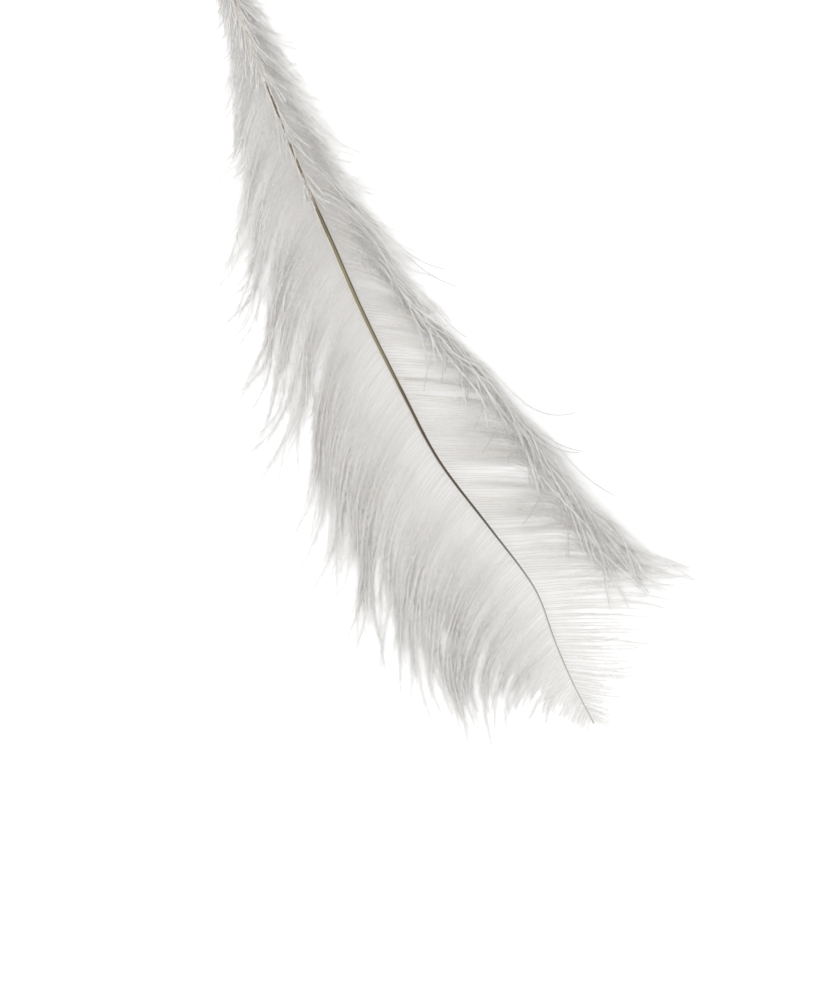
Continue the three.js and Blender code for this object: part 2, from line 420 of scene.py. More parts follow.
class Graph:
    """A node tree and the one method that adds nodes to it."""

    def __init__(self, tree):
        self.tree = tree
        self.tree.nodes.clear()

    def add(self, kind, settings=None, inputs=None, output=0):
        """Adds a node: its settings first, then the values or links of its inputs."""
        node = self.tree.nodes.new(kind)
        for name, value in (settings or {}).items():
            if name == "stops":
                self.set_stops(node.color_ramp, value)
            else:
                setattr(node, name, value)
        for name, value in (inputs or {}).items():
            self.feed(self.socket_of(node.inputs, name), value)
        return Value(self, self.socket_of(node.outputs, output)) if len(node.outputs) else None

    @staticmethod
    def set_stops(ramp, stops):
        while len(ramp.elements) < len(stops):
            ramp.elements.new(1)
        for element, (place, colour) in zip(ramp.elements, stops):
            element.position = place
            element.color = (*colour, 1)

    @staticmethod
    def socket_of(sockets, name):
        """A socket by its number, or by its identifier or name."""
        if isinstance(name, int):
            return sockets[name]
        return next(s for s in sockets if name in (s.identifier, s.name))

    def feed(self, socket, value):
        if isinstance(value, Value):
            self.tree.links.new(value.socket, socket)
        else:
            socket.default_value = value

    def math(self, operation, *values):
        return self.add("ShaderNodeMath", {"operation": operation}, dict(enumerate(values)))

    def vector(self, x=0.0, y=0.0, z=0.0):
        return self.add("ShaderNodeCombineXYZ", inputs={"X": x, "Y": y, "Z": z})

    def split(self, vector, output="X"):
        return self.add("ShaderNodeSeparateXYZ", inputs={"Vector": vector}, output=output)

    def mix(self, share, one, two):
        """A colour between one and two."""
        inputs = {"Factor_Float": share, "A_Color": one, "B_Color": two}
        return self.add("ShaderNodeMix", {"data_type": "RGBA"}, inputs, output="Result_Color")

    def way(self, value, start, end, low=0.0, high=1.0, eased=False):
        """How far a value is on its way from start to end, told from low to high."""
        settings = {"interpolation_type": "SMOOTHSTEP" if eased else "LINEAR"}
        inputs = {"Value": value, "From Min": start, "From Max": end, "To Min": low, "To Max": high}
        return self.add("ShaderNodeMapRange", settings, inputs)

    def noise(self, place, stretch, detail):
        """Noise over a map that is stretched by a vector."""
        inputs = {"Vector": place * stretch, "Scale": 1.0, "Detail": detail}
        return self.add("ShaderNodeTexNoise", {"noise_dimensions": "2D"}, inputs, output="Fac")


# ---------------------------------------------------------------- lines


def between(pairs, place):
    """A value read off (place, value) pairs, straight from one to the next and level beyond them."""
    places, values = zip(*pairs)
    return np.interp(place, places, values)


def smooth_curve(a, b, c, d, t):
    """The value at a share t of the way from b to c on the smooth curve through all four."""
    bend = (2 * a - 5 * b + 4 * c - d) * t**2 + (3 * b - a - 3 * c + d) * t**3
    return 0.5 * (2 * b + (c - a) * t + bend)


def along_barb(stations, share):
    """Values at the root, knee, run and tip, joined by one smooth curve and read at shares of thirds."""
    first, second, third, fourth = stations
    ends = np.array([2 * first - second, first, second, third, fourth, 2 * fourth - third])
    span = np.minimum((share * 3).astype(int), 2)
    return smooth_curve(*(ends[span + i] for i in range(4)), share * 3 - span)


class ShaftLine:
    """The shaft's centre line, smooth through its points and read by distance from the quill's end, in mm."""

    STEPS = 40

    def __init__(self, points):
        given = np.array(points, float)
        ends = np.vstack([2 * given[0] - given[1], given, 2 * given[-1] - given[-2]])
        shares = (np.arange(self.STEPS) / self.STEPS)[:, None]
        spans = [smooth_curve(*ends[i : i + 4], shares) for i in range(len(given) - 1)]
        self.points = np.vstack([*spans, given[-1:]])
        strides = np.linalg.norm(np.diff(self.points[:, :3], axis=0), axis=1)
        self.places = np.concatenate([[0], np.cumsum(strides)])
        self.length = self.places[-1]

    def at(self, place):
        """Position and diameter at a distance, or at many."""
        return np.stack([np.interp(place, self.places, column) for column in self.points.T], axis=-1)


shaft_line = ShaftLine(SHAFT)

# A barb's points stand at these shares of the way, and its steps' middles at the next. Its stations count as thirds.
SHARES = np.arange(BARB_STEPS + 1) / BARB_STEPS
MIDDLES = (SHARES[1:] + SHARES[:-1]) / 2
THIRDS = (0, 1 / 3, 2 / 3, 1)


def walk(root, reach, turn, heights, stations):
    """Points in mm from the root, a step along each bearing in degrees, at heights read between the stations."""
    stride = reach / BARB_STEPS
    points = np.empty((BARB_STEPS + 1, 3))
    points[:, 0] = root[0] + stride * np.concatenate([[0], np.cumsum(np.cos(np.radians(turn)))])
    points[:, 1] = root[1] + stride * np.concatenate([[0], np.cumsum(np.sin(np.radians(turn)))])
    shares = np.interp(SHARES, stations, THIRDS)
    points[:, 2] = np.maximum(along_barb([root[2], *heights], shares), LOWEST_BARB)
    return points


# A barb: its place on the shaft, its points in mm, how full its fringe is and whether it hangs.
Barb = namedtuple("Barb", "at points full hangs")


class Ripple:
    """Strays strung along the shaft at a pitch in mm, running smoothly from one to the next."""

    def __init__(self, seed, pitch, much):
        count = int((VANE_TO - VANE_FROM) / pitch) + 3
        chances = np.random.default_rng(seed).normal(size=(count, len(much)))
        self.pitch = pitch
        self.knots = chances.clip(-SHARED_LIMIT, SHARED_LIMIT)
        self.much = np.array(much)

    def at(self, place):
        knot, share = divmod((place - VANE_FROM) / self.pitch, 1.0)
        ease = share * share * (3 - 2 * share)
        return (self.knots[int(knot)] * (1 - ease) + self.knots[int(knot) + 1] * ease) * self.much


class Vane:
    """One side's barbs, and how the fringe of each runs."""

    def __init__(self, side, settings):
        self.side = side
        self.right = side == "right"
        self.seed = settings.seed
        self.count = settings.barbs_a_side
        self.pitch = (VANE_TO - VANE_FROM) / self.count
        self.ripples = [
            Ripple((self.seed, self.right, WIDE_CHANCES), WIDE_PITCH, WIDE_STRAY),
            Ripple((self.seed, self.right, FINE_CHANCES), FINE_PITCH, FINE_STRAY),
        ]

    def row(self, at):
        """Reach, bearings and heights of a barb that grows at this place on the shaft."""
        rows = COURSES[self.side]
        places = [row[0] for row in rows]
        columns = zip(*[(row[1], *row[2], *row[3]) for row in rows])
        read = np.array([np.interp(at, places, column) for column in columns])
        return read[0], read[1:5], read[5:8]

    def stray(self, at, chances):
        """How far a barb strays from its course, on its own and with its neighbours."""
        loose = LOOSE_TIMES if chances.random() < LOOSE_SHARE else 1
        stray = loose * chances.normal(size=len(OWN_STRAY)).clip(-OWN_LIMIT, OWN_LIMIT) * OWN_STRAY
        stray += sum(ripple.at(at) for ripple in self.ripples)
        stray[1:] *= between(DOWNY, at)
        return stray.clip(np.negative(MOST_STRAY), MOST_STRAY)

    def course(self, at, stray, phase, droop, length):
        """A barb's points, from its strays, its wave's phase, its droop and the share of the reach that it has."""
        reach, bearings, heights = self.row(at)
        reach *= (1 + stray[0]) * length
        stations = np.minimum(np.divide(STATIONS[self.side], length), (0, 1, LAST_RUN, 1))
        bearings += stray[2:6] + np.multiply(droop, DROOP_BEARING)
        wave = stray[9] * MIDDLES * np.sin(math.tau * WAVES * MIDDLES + phase)
        turn = along_barb(bearings, np.interp(MIDDLES * (1 + abs(stray[1])), stations, THIRDS))
        return walk(shaft_line.at(at)[:3], reach, turn + wave, heights + stray[6:9], stations)

    def barb(self, number, droops):
        """One barb of a wisp that droops by a share of what its place allows."""
        chances = np.random.default_rng((self.seed, self.right, BARB_CHANCES, number))
        at = VANE_FROM + self.pitch * (number + 0.5 + OFF_PLACE * chances.uniform(-1, 1))
        droop = droops * between(DROOPS, at)
        hangs = droop > HANGS_PAST
        stray = self.stray(at, chances)
        length = (1 - (1 - SHORTEST) * chances.random() ** SHORT_RARE) * (1 - (1 - DROOP_REACH) * droop)
        points = self.course(at, stray, chances.uniform(0, math.tau), droop, length)
        return Barb(at, points, chances.uniform(*FULLNESS) * (HANG_FRINGE if hangs else 1), hangs)

    def wisps(self):
        """The vane's barbs, those of each wisp drawn towards its middle."""
        for first in range(0, self.count, WISP_BARBS):
            chances = np.random.default_rng((self.seed, DROOP_CHANCES, first))
            droops = self.right and chances.random() ** DROOP_RARE
            wisp = [self.barb(number, droops) for number in range(first, min(first + WISP_BARBS, self.count))]
            middle = np.mean([barb.points for barb in wisp], axis=0)
            cling = between(CLING[self.side], wisp[0].at) * between(CLING_ALONG, SHARES)[:, None]
            for barb in wisp:
                yield barb._replace(points=barb.points * (1 - cling) + middle * cling)

    def down(self):
        """Down that grows on this side and lies over the shaft."""
        cover = DOWN[self.side]
        side = 1 if self.right else -1
        for number, at in enumerate(np.arange(cover[0][0], cover[-1][0], DOWN_STEP)):
            chances = np.random.default_rng((self.seed, self.right, DOWN_CHANCES, number))
            if chances.random() > between(cover, at):
                continue
            root, ahead = shaft_line.at(at), shaft_line.at(at + SHAFT_BEARING_OVER)
            turn = math.degrees(math.atan2(ahead[1] - root[1], ahead[0] - root[0]))
            turn = turn + side * DOWN_BEARING * chances.uniform(*DOWN_SIDES)
            turn = turn + np.linspace(0, DOWN_CURL * chances.normal(), BARB_STEPS)
            start = root[:3] + (0, side * chances.uniform(*DOWN_OUT) * root[3], DOWN_UP * root[3])
            heights = root[2] + np.multiply(DOWN_RISE, chances.uniform(*DOWN_RISES))
            yield Barb(at, walk(start, chances.uniform(*DOWN_REACH), turn, heights, THIRDS), DOWN_FRINGE, False)

    def strands(self):
        """Single strands that spring off the right vane's ridge."""
        for at, reach, run, tip, run_at in STRANDS if self.right else ():
            (root, knee, *_), heights = self.row(at)[1:]
            stations = (*STATIONS[self.side][:2], run_at, 1)
            turn = along_barb((root, knee, run, tip), np.interp(MIDDLES, stations, THIRDS))
            yield Barb(at, walk(shaft_line.at(at)[:3], reach, turn, heights, stations), STRAND_FRINGE, True)

    def barbs(self, start, end):
        """What grows on a stretch of the shaft."""
        return [barb for barb in (*self.wisps(), *self.down(), *self.strands()) if start <= barb.at < end]

    def fields(self, barb):
        """How a barb's fringe and stem run along it, for the node tree."""
        reach = np.linalg.norm(np.diff(barb.points, axis=0), axis=1).sum()
        fringe = between(FRINGE[self.side], SHARES) * between(FLUFF[self.side], barb.at)
        fringe = fringe + between(ROOT_FLUFF, barb.at) * (1 - SHARES) ** 2
        stem = HANGING_STEM if barb.hangs else STEM[self.side]
        return {
            "fringe": np.minimum(fringe * barb.full, reach * FRINGE_SHARE) * MM,
            "filled": between(FILLED, SHARES) * (1 - SHARES * between(THINNED[self.side], barb.at)) * barb.full,
            "swept": between(SWEPT[self.side], SHARES),
            "wild": np.full(len(SHARES), between(WILD, barb.at)),
            "stem": between(stem, SHARES) * between(STOUT, barb.at),
        }


# ---------------------------------------------------------------- materials


def new_material(name):
    material = bpy.data.materials.new(name)
    material.use_nodes = True
    return material, Graph(material.node_tree)


def finish_material(graph, colour, roughness, others):
    """The surface itself: what varies comes as links, and each constant is set on its own socket."""
    inputs = {"Base Color": colour, "Roughness": roughness, **others}
    surface = graph.add("ShaderNodeBsdfPrincipled", inputs=inputs)
    graph.add("ShaderNodeOutputMaterial", inputs={"Surface": surface})


def barb_material(name, colours, root_tint_and_shade_colour, stems):
    """Soft white barbs: creamier at the root, greyer here and there, each barb a little unlike the next.

    The root's colour, which on the down near the quill also holds painted shade next to the shaft, and the share of
    the stems' own colour are given.
    """
    material, graph = new_material(name)
    place = graph.add("ShaderNodeUVMap", {"uv_map": UV_MAP})
    along = graph.split(place)
    barbule = graph.math("GREATER_THAN", along.other("Y"), 0.5)
    hangs = graph.math("GREATER_THAN", along.other("Y") * 2 - barbule, HANGING_STRIP - STRIP / 2)
    streaks = graph.noise(place, (3.0, 60.0, 0.0), 2.0)
    root = (1 - along) ** 3
    # Warm tint at the root; on the down near the quill it is also painted shade next to the shaft.
    root_tinted_and_shaded = graph.mix(root * ROOT_TINT_AND_SHADE_SHARE, (*colours.barb, 1), (*root_tint_and_shade_colour, 1))
    stem = (1 - barbule) * (STEM_ALL_ALONG + root * STEM_AT_ROOT) * stems
    white = graph.mix(stem, root_tinted_and_shaded, (*colours.barb_stem, 1))
    grey = graph.way(streaks, *GREYS, eased=True) * GREY_MOST
    shaded = graph.mix(grey, white, (*colours.barb_shade, 1))
    hanging = hangs * graph.way(along, *HANGING_GREYS) * (1 - barbule * BARBULE_KEEPS)
    shaded = graph.mix(hanging, shaded, (*colours.hanging, 1))
    finish_material(graph, shaded, 0.5 + streaks * 0.25, {"Specular IOR Level": 0.35})
    return material


def horn_material(colours):
    """The shaft's horn: clear and creamy at the quill, olive brown above, nearly black lower down, grey at the tip.

    The brown is a stripe down the top; both flanks are pale. The stripe's right side is darkened with painted shade.
    """
    material, graph = new_material("brown_horn")
    place = graph.add("ShaderNodeUVMap", {"uv_map": UV_MAP})
    along = graph.split(place)
    around = along.other("Y")
    stripe = graph.add("ShaderNodeValToRGB", {"stops": HORN_STRIPE}, {"Fac": along})
    flank = graph.add("ShaderNodeValToRGB", {"stops": HORN_FLANK}, {"Fac": along})
    grain = graph.noise(place, (60.0, 14.0, 0.0), 4.0)
    width = graph.way(along, *STRIPE_WIDENS, low=STRIPE_NARROW)
    off_middle = (graph.math("ABSOLUTE", around - STRIPE_AT) + (grain - 0.5) * STRIPE_RAGGED) / width
    edge = graph.way(off_middle, STRIPE_HALF - STRIPE_SOFT, STRIPE_HALF + STRIPE_SOFT, eased=True)
    # Painted shade: the stripe's right side, away from the light, is darkened.
    shade = graph.way(around, *(STRIPE_AT - off for off in PAINTED_SHADE_OFF), high=PAINTED_SHADE_MOST, eased=True)
    streaked = graph.mix((grain - STREAKS_PAST) * STREAKS_MOST, stripe, (*colours.horn_streak, 1))
    shaded = graph.mix(shade, streaked, (*colours.horn_painted_shade, 1))
    horn = graph.mix(edge, shaded, flank)
    bump = graph.add("ShaderNodeBump", inputs={"Strength": 0.3, "Distance": 0.1 * MM, "Height": grain})
    finish_material(graph, horn, 0.4 + grain * 0.2, {"Normal": bump, "Specular IOR Level": 0.3})
    return material


def floor_material(colour):
    """Matt white paper with the faintest tooth."""
    material, graph = new_material("matt_paper")
    place = graph.add("ShaderNodeTexCoord", output="Object")
    tooth = graph.add("ShaderNodeTexNoise", inputs={"Vector": place, "Scale": 900.0, "Detail": 3.0}, output="Fac")
    bump = graph.add("ShaderNodeBump", inputs={"Strength": 0.05, "Distance": 0.1 * MM, "Height": tooth})
    finish_material(graph, (*colour, 1), 0.9, {"Normal": bump})
    return material


# ---------------------------------------------------------------- barbs as a node tree


def tree_input(tree, name, kind, value=None):
    socket = tree.interface.new_socket(name, in_out="INPUT", socket_type=kind)
    if value is not None:
        socket.default_value = value


def named(graph, name):
    return graph.add("GeometryNodeInputNamedAttribute", {"data_type": "FLOAT"}, {"Name": name})


def store(graph, geometry, name, value, data_type="FLOAT", domain="POINT"):
    settings = {"data_type": data_type, "domain": domain}
    return graph.add("GeometryNodeStoreNamedAttribute", settings, {"Geometry": geometry, "Name": name, "Value": value})


def chance_between(graph, low, high, seed):
    settings = {"data_type": "FLOAT"}
    inputs = {"Min_001": low, "Max_001": high, "Seed": seed}
    return graph.add("FunctionNodeRandomValue", settings, inputs, output="Value_001")


def barb_tree(barbules, barbs):
    """Geometry Nodes: thin filaments along the barb lines, and a barbule at each step, left and right in turn."""
    tree = bpy.data.node_groups.new("barbs_and_barbules", "GeometryNodeTree")
    tree_input(tree, "Barb Lines", "NodeSocketGeometry")
    tree_input(tree, "Barb Thickness", "NodeSocketFloat", barbs.thickness)
    tree_input(tree, "Barb Step", "NodeSocketFloat", barbs.step)
    tree_input(tree, "Barbule Spacing", "NodeSocketFloat", barbules.spacing)
    tree_input(tree, "Barbule Thickness", "NodeSocketFloat", barbules.thickness)
    tree_input(tree, "Barbule Sweep", "NodeSocketFloat", barbules.sweep)
    tree_input(tree, "Barbule Spread", "NodeSocketFloat", barbules.spread)
    tree_input(tree, "Floor Gap", "NodeSocketFloat", barbules.floor_gap)
    tree_input(tree, "Seed", "NodeSocketInt", barbules.seed)
    tree_input(tree, "Material", "NodeSocketMaterial")
    tree.interface.new_socket("Barbs", in_out="OUTPUT", socket_type="NodeSocketGeometry")
    graph = Graph(tree)
    given = graph.add("NodeGroupInput", output="Barb Lines")

    lines = graph.add("GeometryNodeMeshToCurve", inputs={"Mesh": given})
    lines = store(graph, lines, "along", graph.add("GeometryNodeSplineParameter"))
    joined = graph.add("GeometryNodeJoinGeometry", inputs={"Geometry": barb_filaments(graph, lines, given)})
    graph.feed(joined.socket.node.inputs["Geometry"], barbule_fringe(graph, lines, given))

    across = STRIP_MARGIN + named(graph, "round") * (1 - 2 * STRIP_MARGIN)
    strip = (named(graph, "strip") + across * STRIP + named(graph, "fuzz")) / 2
    along = graph.math("MINIMUM", named(graph, "along") + named(graph, "out") * BARBULE_MAP, 1.0)
    real = graph.add("GeometryNodeRealizeInstances", inputs={"Geometry": joined})
    mapped = store(graph, real, UV_MAP, graph.vector(along, strip), "FLOAT2", "CORNER")
    smooth = graph.add("GeometryNodeSetShadeSmooth", inputs={"Geometry": mapped})
    done = graph.add("GeometryNodeSetMaterial", inputs={"Geometry": smooth, "Material": given.other("Material")})
    graph.add("NodeGroupOutput", inputs={"Barbs": done})
    return tree


def barb_filaments(graph, lines, given):
    """Three-sided filaments that taper towards their tips."""
    step = given.other("Barb Step")
    stepped = graph.add("GeometryNodeResampleCurve", {"mode": "LENGTH"}, {"Curve": lines, "Length": step})
    sized = graph.add("GeometryNodeSetCurveRadius", inputs={"Curve": stepped, "Radius": named(graph, "stem")})
    radius = given.other("Barb Thickness") * 0.5
    ring = graph.add("GeometryNodeCurvePrimitiveCircle", inputs={"Resolution": 3, "Radius": radius})
    ring = store(graph, ring, "round", graph.add("GeometryNodeInputIndex") / 3)
    return graph.add("GeometryNodeCurveToMesh", inputs={"Curve": sized, "Profile Curve": ring, "Fill Caps": True})


def barbule_fringe(graph, lines, given):
    """One barbule at each step along the lines, swept towards the barb's tip, on alternate sides."""
    spacing = given.other("Barbule Spacing")
    steps = graph.add("GeometryNodeCurveToPoints", {"mode": "LENGTH"}, {"Curve": lines, "Length": spacing})
    tangent = steps.other("Tangent")
    seed = given.other("Seed")

    lean = chance_between(graph, -1.0, 1.0, seed) * given.other("Barbule Spread")
    wild = 1 + chance_between(graph, -1.0, 1.0, seed + 1) * named(graph, "wild")
    sweep = given.other("Barbule Sweep") * named(graph, "swept") * wild
    longer = chance_between(graph, 0.0, 1.0, seed + 5) ** LONG_BARBULES_RARE * LONG_BARBULE
    length = named(graph, "fringe") * (chance_between(graph, *BARBULE_LENGTHS, seed + 2) + longer)
    thick = given.other("Barbule Thickness") * chance_between(graph, *BARBULE_THICKNESSES, seed + 4)
    chance = chance_between(graph, 0.0, 1.0, seed + 3)
    settings = {"data_type": "FLOAT", "operation": "LESS_THAN"}
    filled = graph.add("FunctionNodeCompare", settings, {"A": chance, "B": named(graph, "filled")})

    outward, heading = barbule_heading(graph, tangent, lean, sweep)
    heading = over_floor(graph, heading, length, given.other("Floor Gap"))
    turn = graph.add(
        "FunctionNodeAxesToRotation",
        {"primary_axis": "Z", "secondary_axis": "X"},
        {"Primary Axis": heading, "Secondary Axis": outward},
    )
    inputs = {
        "Points": steps,
        "Selection": filled,
        "Instance": one_barbule(graph),
        "Rotation": turn,
        "Scale": graph.vector(thick, thick, length),
    }
    return graph.add("GeometryNodeInstanceOnPoints", inputs=inputs)


def barbule_heading(graph, tangent, lean, sweep):
    """The way out of the barb, leaning up or down, and the way from the barb that is swept towards its tip."""
    side = (graph.add("GeometryNodeInputIndex") % 2) * 2 - 1
    crossed = {0: (0.0, 0.0, 1.0), 1: tangent}
    across = graph.add("ShaderNodeVectorMath", {"operation": "CROSS_PRODUCT"}, crossed).scaled(side)
    outward = across.scaled(graph.math("COSINE", lean)) + graph.vector(z=graph.math("SINE", lean))
    return outward, tangent.scaled(graph.math("COSINE", sweep)) + outward.scaled(graph.math("SINE", sweep))


def over_floor(graph, heading, length, gap):
    """The heading, raised where the barbule's tip would come within the gap of the floor."""
    height = graph.split(graph.add("GeometryNodeInputPosition"), "Z")
    split = graph.split(heading)
    rise = graph.math("MINIMUM", graph.math("MAXIMUM", split.other("Z"), (gap - height) / length), 1.0)
    flat = graph.add("ShaderNodeVectorMath", {"operation": "NORMALIZE"}, {0: graph.vector(split, split.other("Y"))})
    return flat.scaled(graph.math("SQRT", 1 - rise * rise)) + graph.vector(z=rise)


def one_barbule(graph):
    """A closed three-sided spike of unit length and thickness, with its foot on the barb."""
    inputs = {"Vertices": 3, "Radius Top": 0.0, "Radius Bottom": 0.5, "Depth": 1.0}
    spike = graph.add("GeometryNodeMeshCone", {"fill_type": "NGON"}, inputs)
    split = graph.split(graph.add("GeometryNodeInputPosition"))
    spike = store(graph, spike, "round", graph.math("ARCTAN2", split.other("Y"), split) / math.tau + 0.5)
    spike = store(graph, spike, "fuzz", 1.0)
    return store(graph, spike, "out", split.other("Z"))


# ---------------------------------------------------------------- pieces


def guide_object(name, vane, barbs):
    """The barb lines of a stretch of vane, as one mesh of edges that says how the fringe runs along each."""
    corners, edges, fields = [], [], {}
    for number, barb in enumerate(barbs):
        start = len(corners)
        corners.extend(map(tuple, barb.points * MM))
        edges.extend((start + i, start + i + 1) for i in range(BARB_STEPS))
        strip = HANGING_STRIP if barb.hangs else HANGING_STRIP * number / len(barbs)
        along = {**vane.fields(barb), "strip": np.full(len(SHARES), strip)}
        for field, values in along.items():
            fields.setdefault(field, []).extend(values)
    mesh = bpy.data.meshes.new(name + "_lines")
    mesh.from_pydata(corners, edges, [])
    for field, values in fields.items():
        mesh.attributes.new(field, "FLOAT", "POINT").data.foreach_set("value", values)
    lines = bpy.data.objects.new(name, mesh)
    bpy.context.collection.objects.link(lines)
    return lines


def dress(lines, tree, material):
    """Runs the barb tree on the lines and keeps its result as a plain mesh."""
    modifier = lines.modifiers.new("barbs", "NODES")
    modifier.node_group = tree
    socket = next(item for item in tree.interface.items_tree if item.name == "Material")
    modifier[socket.identifier] = material
    shown = lines.evaluated_get(bpy.context.evaluated_depsgraph_get())
    mesh = bpy.data.meshes.new_from_object(shown)
    lines.modifiers.remove(modifier)
    bare = lines.data
    lines.data = mesh
    bpy.data.meshes.remove(bare)
    mesh.name = lines.name


def shaft_rings(places):
    """The shaft's rings of corners in mm, each with its first corner on top."""
    line = shaft_line.at(places)
    ahead = np.gradient(line[:, :3], axis=0)
    across = np.cross(ahead, (0, 0, 1))
    across /= np.linalg.norm(across, axis=1)[:, None]
    up = np.cross(across, ahead)
    up /= np.linalg.norm(up, axis=1)[:, None]
    turns = np.arange(SHAFT_SIDES) * math.tau / SHAFT_SIDES
    wide, tall = np.sin(turns), np.cos(turns)
    groove = GROOVE * np.exp(-((wide / GROOVE_WIDTH) ** 2)) * (tall < 0)
    rings = []
    for i, (*middle, width) in enumerate(line):
        radius = width / 2
        height = (tall * SHAFT_DEPTH + groove * between(GROOVE_DEPTH, places[i])) * radius
        ring = np.array(middle) + np.outer(wide * radius, across[i]) + np.outer(height, up[i])
        ring[:, 2] = np.maximum(ring[:, 2], LOWEST_SHAFT)
        rings.append(ring)
    return rings


def quill_bore(end, next_ring):
    """The rings of the bore in the quill's open end: its bottom, and its lip."""
    centre = end.mean(axis=0)
    lip = centre + (end - centre) * QUILL_BORE
    inward = (next_ring - end).mean(axis=0)
    return [lip + inward / np.linalg.norm(inward) * QUILL_BORE_DEPTH, lip]


def tube_faces(rows):
    """Quads between rows of corners, and a cap at both ends."""
    sides = range(SHAFT_SIDES)
    faces = []
    for start in range(0, (rows - 1) * SHAFT_SIDES, SHAFT_SIDES):
        for i in sides:
            j = (i + 1) % SHAFT_SIDES
            faces.append((start + i, start + j, start + SHAFT_SIDES + j, start + SHAFT_SIDES + i))
    last = (rows - 1) * SHAFT_SIDES
    return [*faces, tuple(reversed(sides)), tuple(last + i for i in sides)]


def map_shaft(mesh, bore_rows):
    """Maps the shaft along its rings and round them from below; the bore has the first ring's place."""
    uv = mesh.uv_layers.new(name=UV_MAP)
    for face in mesh.polygons:
        for loop in face.loop_indices:
            row, side = divmod(mesh.loops[loop].vertex_index, SHAFT_SIDES)
            along = max(row - bore_rows, 0) / (SHAFT_RINGS - 1)
            uv.data[loop].uv = (along, (side / SHAFT_SIDES + 0.5) % 1.0)


def belongs(piece):
    """A finished piece takes the CAD feather's place."""
    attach(piece, "root")
    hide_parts("feather")


# ---------------------------------------------------------------- settings


def length(name, description, default):
    return FloatProperty(name=name, description=description, default=default, unit="LENGTH", precision=5)


def angle(name, description, degrees):
    return FloatProperty(name=name, description=description, default=math.radians(degrees), subtype="ANGLE")


def colour(name, description, default):
    return FloatVectorProperty(name=name, description=description, default=default, subtype="COLOR")


class PlumeBarbs(bpy.types.PropertyGroup):
    barbs_a_side: IntProperty(name="Barbs a side", description="Barbs on each side of the shaft", default=270, min=3)
    thickness: length("Thickness", "Thickness of a barb at its root", 0.24 * MM)
    step: length("Step", "Length of the straight pieces that a barb bends in", 3.0 * MM)
    seed: IntProperty(name="Seed", description="Changes how the barbs stray", default=4)


class PlumeBarbules(bpy.types.PropertyGroup):
    spacing: length("Spacing", "Step from one barbule to the next", 0.09 * MM)
    thickness: length("Thickness", "Thickness of a barbule at its foot", 0.092 * MM)
    sweep: angle("Sweep", "Angle between barbule and barb", 22)
    spread: angle("Spread", "How far barbules lean out of the vane", 50)
    floor_gap: length("Floor gap", "How near to the floor barbules come", 0.1 * MM)
    seed: IntProperty(name="Seed", description="Changes the barbules' lengths and angles", default=11)


class PlumeColours(bpy.types.PropertyGroup):
    barb: colour("Barbules", "Barbules", (0.972, 0.957, 0.934))
    barb_root: colour("Root barbules", "Barbules next to the shaft", (0.90, 0.87, 0.82))
    # A warm tint with painted shade, for the down next to the shaft near the quill.
    down_root_tint_and_shade: colour("Root down", "Down next to the shaft, near the quill", (0.80, 0.77, 0.735))
    barb_stem: colour("Barb stems", "The barbs themselves at their roots", (0.68, 0.645, 0.60))
    hanging: colour("Hanging barbs", "Barbs that hang over the right vane", (0.58, 0.56, 0.54))
    barb_shade: colour("Barb shade", "The greyest barbs", (0.80, 0.786, 0.765))
    horn_streak: colour("Horn streaks", "Streaks in the horn", (0.24, 0.19, 0.10))
    # Painted shade on the right side of the shaft's stripe, away from the light.
    horn_painted_shade: colour("Horn shade", "The stripe's dark side", (0.03, 0.022, 0.014))


class PlumeStage(bpy.types.PropertyGroup):
    floor: colour("Floor", "Paper", (0.9, 0.9, 0.9))
    softbox_power: FloatProperty(name="Softbox", description="Power of the softbox", default=18.0, unit="POWER")
    sky: FloatProperty(name="Surroundings", description="Brightness all round", default=0.86)
    lens: FloatProperty(name="Lens", description="Focal length in mm", default=85.0)


# ---------------------------------------------------------------- operators


class PLUME_OT_shaft(bpy.types.Operator):
    """Builds the quill and shaft"""

    bl_idname = "plume.shaft"
    bl_label = "Shaft"

    def execute(self, context):
        rings = shaft_rings(np.linspace(0, shaft_line.length, SHAFT_RINGS))
        bore = quill_bore(rings[0], rings[1])
        corners = np.vstack([*bore, *rings]) * MM
        mesh = bpy.data.meshes.new("shaft")
        mesh.from_pydata([tuple(c) for c in corners], [], tube_faces(len(bore) + len(rings)))
        for face in mesh.polygons:
            face.use_smooth = len(face.vertices) == 4
        map_shaft(mesh, len(bore))
        mesh.materials.append(horn_material(context.scene.plume_colours))
        piece = bpy.data.objects.new("shaft", mesh)
        context.collection.objects.link(piece)
        belongs(piece)
        return {"FINISHED"}


class PLUME_OT_barbs(bpy.types.Operator):
    """Grows the barbs of one stretch of vane, or of all"""

    bl_idname = "plume.barbs"
    bl_label = "Barbs"

    stretch: StringProperty(name="Stretch", description="The piece to grow, or empty for all", default="")

    def execute(self, context):
        scene = context.scene
        tree = barb_tree(scene.plume_barbules, scene.plume_barbs)
        colours = scene.plume_colours
        # The down near the quill has painted shade at its roots, next to the shaft.
        downy = barb_material("downy_barbs", colours, colours.down_root_tint_and_shade, 0.3)
        smooth = barb_material("soft_white_barbs", colours, colours.barb_root, 1.0)
        for name, side, start, end in VANE_PIECES:
            if self.stretch in ("", name):
                vane = Vane(side, scene.plume_barbs)
                piece = guide_object(name, vane, vane.barbs(start, end))
                dress(piece, tree, downy if name.endswith("near_quill") else smooth)
                belongs(piece)
        return {"FINISHED"}


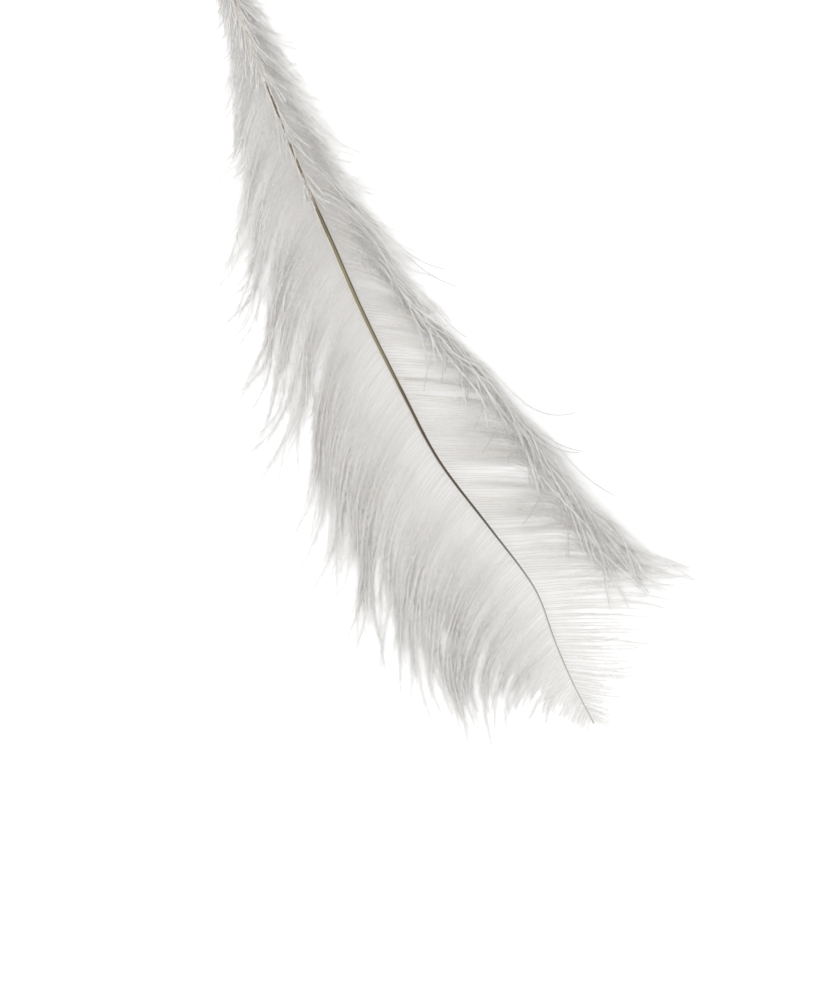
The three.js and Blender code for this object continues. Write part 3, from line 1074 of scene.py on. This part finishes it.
class PLUME_OT_stage(bpy.types.Operator):
    """Sets out the floor, the softbox and the camera"""

    bl_idname = "plume.stage"
    bl_label = "Stage"

    def execute(self, context):
        settings = context.scene.plume_stage
        self.lay_floor(context, settings)
        self.light(context, settings)
        self.aim_camera(context, settings)
        context.scene.view_settings.view_transform = "Standard"
        return {"FINISHED"}

    def lay_floor(self, context, settings):
        mesh = bpy.data.meshes.new("floor")
        half = FLOOR_SIZE / 2
        corners = [(-half, -half, 0), (half, -half, 0), (half, half, 0), (-half, half, 0)]
        mesh.from_pydata(corners, [], [(0, 1, 2, 3)])
        mesh.materials.append(floor_material(settings.floor))
        floor = bpy.data.objects.new("floor", mesh)
        context.collection.objects.link(floor)

    def light(self, context, settings):
        world = bpy.data.worlds.new("surroundings")
        world.use_nodes = True
        background = world.node_tree.nodes["Background"]
        background.inputs["Color"].default_value = (1, 1, 1, 1)
        background.inputs["Strength"].default_value = settings.sky
        context.scene.world = world

        lamp = bpy.data.lights.new("softbox", "AREA")
        lamp.size = SOFTBOX_SIZE
        lamp.energy = settings.softbox_power
        softbox = bpy.data.objects.new("softbox", lamp)
        softbox.location = SOFTBOX_AT
        softbox.rotation_euler = (-Vector(SOFTBOX_AT)).to_track_quat("-Z", "Y").to_euler()
        context.collection.objects.link(softbox)

    def aim_camera(self, context, settings):
        """Looks straight down, with the shaft at its bearing and its point on its pixel."""
        lens = bpy.data.cameras.new("camera")
        lens.lens = settings.lens
        lens.sensor_fit = "AUTO"
        lens.sensor_width = SENSOR
        turn = math.radians(SHAFT_BEARING_IN_VIEW)
        right = np.array([math.cos(turn), math.sin(turn)])
        down = np.array([math.sin(turn), -math.cos(turn)])
        middle = np.array(VIEW) / 2 - SHAFT_PIXEL
        x, y = np.array(SHAFT_POINT) * MM + PIXEL * (middle[0] * right + middle[1] * down)
        distance = VIEW[1] * PIXEL / 2 / (SENSOR / 2 / settings.lens)
        camera = bpy.data.objects.new("camera", lens)
        camera.location = (x, y, distance + SHAFT_POINT_HEIGHT * MM)
        camera.rotation_euler = (0, 0, turn)
        context.collection.objects.link(camera)
        context.scene.camera = camera


class PLUME_PT_panel(bpy.types.Panel):
    """The plume's sizes, colours and operators"""

    bl_label = "Ostrich plume"
    bl_idname = "PLUME_PT_panel"
    bl_space_type = "VIEW_3D"
    bl_region_type = "UI"
    bl_category = "Plume"

    def draw(self, context):
        for group in SETTINGS:
            box = self.layout.box()
            for name in SETTINGS[group].__annotations__:
                box.prop(getattr(context.scene, group), name)
        for operator in (PLUME_OT_shaft, PLUME_OT_barbs, PLUME_OT_stage):
            self.layout.operator(operator.bl_idname)


SETTINGS = {
    "plume_barbs": PlumeBarbs,
    "plume_barbules": PlumeBarbules,
    "plume_colours": PlumeColours,
    "plume_stage": PlumeStage,
}
CLASSES = (*SETTINGS.values(), PLUME_OT_shaft, PLUME_OT_barbs, PLUME_OT_stage, PLUME_PT_panel)


def register():
    for cls in CLASSES:
        bpy.utils.register_class(cls)
    for name, group in SETTINGS.items():
        setattr(bpy.types.Scene, name, PointerProperty(type=group))


def unregister():
    for name in SETTINGS:
        delattr(bpy.types.Scene, name)
    for cls in reversed(CLASSES):
        bpy.utils.unregister_class(cls)


def main():
    register()
    bpy.ops.plume.stage()
    bpy.ops.plume.shaft()
    bpy.ops.plume.barbs()


if __name__ == "__main__":
    main()
